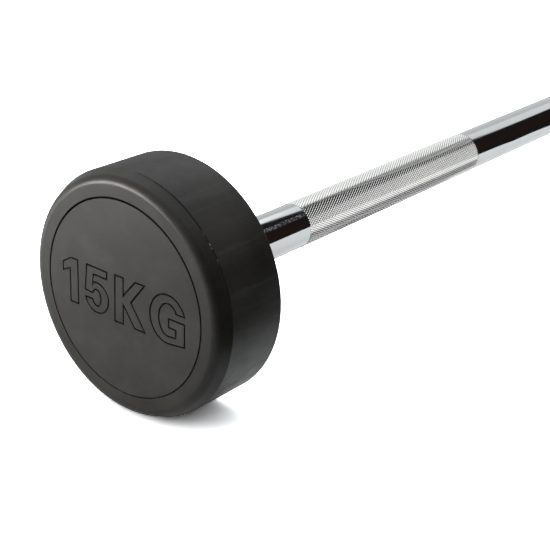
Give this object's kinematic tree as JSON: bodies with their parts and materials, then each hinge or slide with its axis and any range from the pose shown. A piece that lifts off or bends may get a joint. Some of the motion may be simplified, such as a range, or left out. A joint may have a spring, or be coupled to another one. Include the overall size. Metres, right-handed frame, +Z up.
{
  "type": "fixed barbell",
  "caption": "Fixed barbell: a chromed steel bar with knurled grips and a round rubber-cased iron head screwed to each end.",
  "frame": {"origin": "on the ground under the middle of the bar", "axes": "+X along the bar towards the right head, +Z up, +Y away from a viewer who has the left head on their left"},
  "size_m": [1.1, 0.1498, 0.1498],
  "materials": {
    "bar_chrome": "polished, with fine diamond knurling on the grips",
    "head_rubber": "smooth matt moulded rubber with a slight sheen",
    "cap_rubber": "smooth matt moulded rubber with thin engraved outlines",
    "core_iron": "raw sand casting",
    "zinc_steel": "zinc-plated"
  },
  "bodies": {
    "root": {"bar": "bar_chrome", "left_rubber_casing": "head_rubber", "left_iron_core": "core_iron", "left_end_cap": "cap_rubber", "left_retaining_screw": "zinc_steel", "left_lock_washer": "zinc_steel", "left_retaining_washer": "zinc_steel", "left_dowel_pin_1": "zinc_steel", "left_dowel_pin_2": "zinc_steel", "left_dowel_pin_3": "zinc_steel", "right_rubber_casing": "head_rubber", "right_iron_core": "core_iron", "right_end_cap": "cap_rubber", "right_retaining_screw": "zinc_steel", "right_lock_washer": "zinc_steel", "right_retaining_washer": "zinc_steel", "right_dowel_pin_1": "zinc_steel", "right_dowel_pin_2": "zinc_steel", "right_dowel_pin_3": "zinc_steel"}
  },
  "joints": []
}
